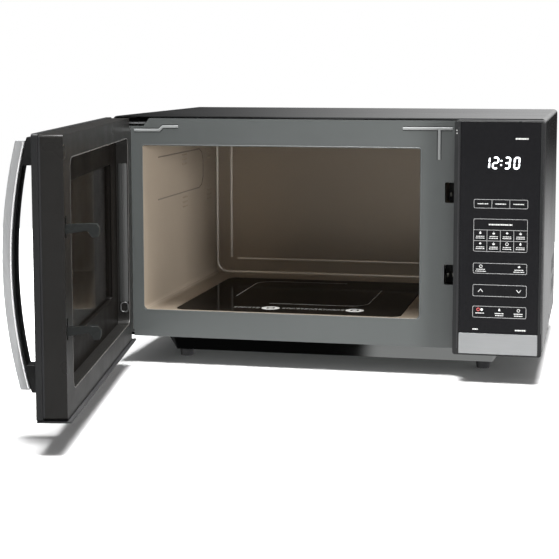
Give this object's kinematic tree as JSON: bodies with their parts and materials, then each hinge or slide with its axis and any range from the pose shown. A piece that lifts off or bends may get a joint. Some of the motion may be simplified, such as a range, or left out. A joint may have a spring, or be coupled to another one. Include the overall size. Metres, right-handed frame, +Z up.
{
  "type": "microwave oven",
  "caption": "Free-standing flatbed microwave oven: left-hung windowed door with bow handle, sprung latch hooks, touch control column and a working cavity behind.",
  "frame": {"origin": "middle of the resting footprint, door open at 80 degrees, on the floor plane under the feet", "axes": "+X to the right seen from the front, +Y from the front to the back, +Z up"},
  "size_m": [0.5146, 0.7938, 0.3],
  "materials": {
    "wrapper": "dark satin",
    "face_paint": "satin grey",
    "frame_paint": "satin dark grey",
    "cavity_paint": "satin warm grey-brown",
    "zinc": "matte",
    "black_glass": "gloss",
    "clear_glass": "gloss",
    "ceramic": "gloss black",
    "dark_plastic": "satin",
    "black_plastic": "satin",
    "pale_plastic": "matte",
    "silver": "satin silver",
    "steel": "bright",
    "mesh": "matte black perforated",
    "aluminium": "satin",
    "ferrite": "matte",
    "board": "matte",
    "rubber": "matte",
    "lamp_glass": "clear"
  },
  "bodies": {
    "cabinet": {"outer_cabinet": "wrapper", "rear_panel": "zinc", "base_plate": "wrapper", "front_plate": "face_paint", "cord_gland": "black_plastic", "foot_front_left": "rubber", "foot_front_right": "rubber", "foot_rear_left": "rubber", "foot_rear_right": "rubber", "rear_screw_1": "steel", "rear_screw_2": "steel", "rear_screw_3": "steel", "rear_screw_4": "steel", "cavity_liner": "cavity_paint", "ceramic_floor": "ceramic", "waveguide": "zinc", "stirrer_motor": "ferrite", "magnetron_yoke": "zinc", "magnetron_fins": "aluminium", "magnetron_dome": "steel", "thermal_cutout": "black_plastic", "inverter_board": "board", "inverter_transformer": "ferrite", "inverter_heatsink": "aluminium", "filter_board": "board", "fan_frame": "black_plastic", "fan_motor": "ferrite", "air_duct": "pale_plastic", "lamp_socket": "pale_plastic", "lamp_bulb": "lamp_glass", "latch_board": "black_plastic", "switch_primary": "black_plastic", "switch_secondary": "black_plastic", "switch_monitor": "black_plastic", "control_housing": "black_plastic", "control_glass": "black_glass", "panel_trim": "silver", "display_module": "black_plastic", "control_board": "board", "hinge_bracket_upper": "steel", "hinge_bracket_lower": "steel"},
    "door": {"door_bezel": "dark_plastic", "door_glass": "black_glass", "door_trim": "silver", "choke_cover": "dark_plastic", "door_frame": "frame_paint", "door_mesh": "mesh", "inner_window": "clear_glass", "handle_trim": "silver", "handle_grip": "dark_plastic", "latch_spring": "steel", "hinge_pin_upper": "steel", "hinge_pin_lower": "steel"},
    "latch": {"latch_bar": "dark_plastic"},
    "stirrer": {"stirrer_antenna": "aluminium"},
    "fan": {"fan_wheel": "pale_plastic"},
    "plunger_primary_body": {"plunger_primary": "pale_plastic"},
    "plunger_secondary_body": {"plunger_secondary": "pale_plastic"},
    "plunger_monitor_body": {"plunger_monitor": "pale_plastic"}
  },
  "joints": [
    {"name": "door_hinge", "type": "hinge", "parent": "cabinet", "child": "door", "pos_m": [-0.24924, 0.00269, 0.166], "axis": [0, 0, 1], "range_deg": [-25, 80]},
    {"name": "latch_slide", "type": "slide", "parent": "door", "child": "latch", "axis": [0, 0, 1], "range_m": [0, 0.005], "stiffness_N_per_m": 150, "deforming": ["latch_spring"]},
    {"name": "stirrer_spin", "type": "hinge", "parent": "cabinet", "child": "stirrer", "pos_m": [-0.04874, 0.19069, 0.05], "axis": [0, 0, 1], "continuous": true},
    {"name": "fan_spin", "type": "hinge", "parent": "cabinet", "child": "fan", "pos_m": [0.18676, 0.36469, 0.176], "axis": [0, 1, 0], "continuous": true},
    {"name": "plunger_primary_press", "type": "slide", "parent": "cabinet", "child": "plunger_primary_body", "axis": [0, 1, 0], "range_m": [0, 0.0015], "stiffness_N_per_m": 300},
    {"name": "plunger_secondary_press", "type": "slide", "parent": "cabinet", "child": "plunger_secondary_body", "axis": [0, 1, 0], "range_m": [0, 0.0015], "stiffness_N_per_m": 300},
    {"name": "plunger_monitor_press", "type": "slide", "parent": "cabinet", "child": "plunger_monitor_body", "axis": [0, 1, 0], "range_m": [0, 0.0015], "stiffness_N_per_m": 300}
  ]
}
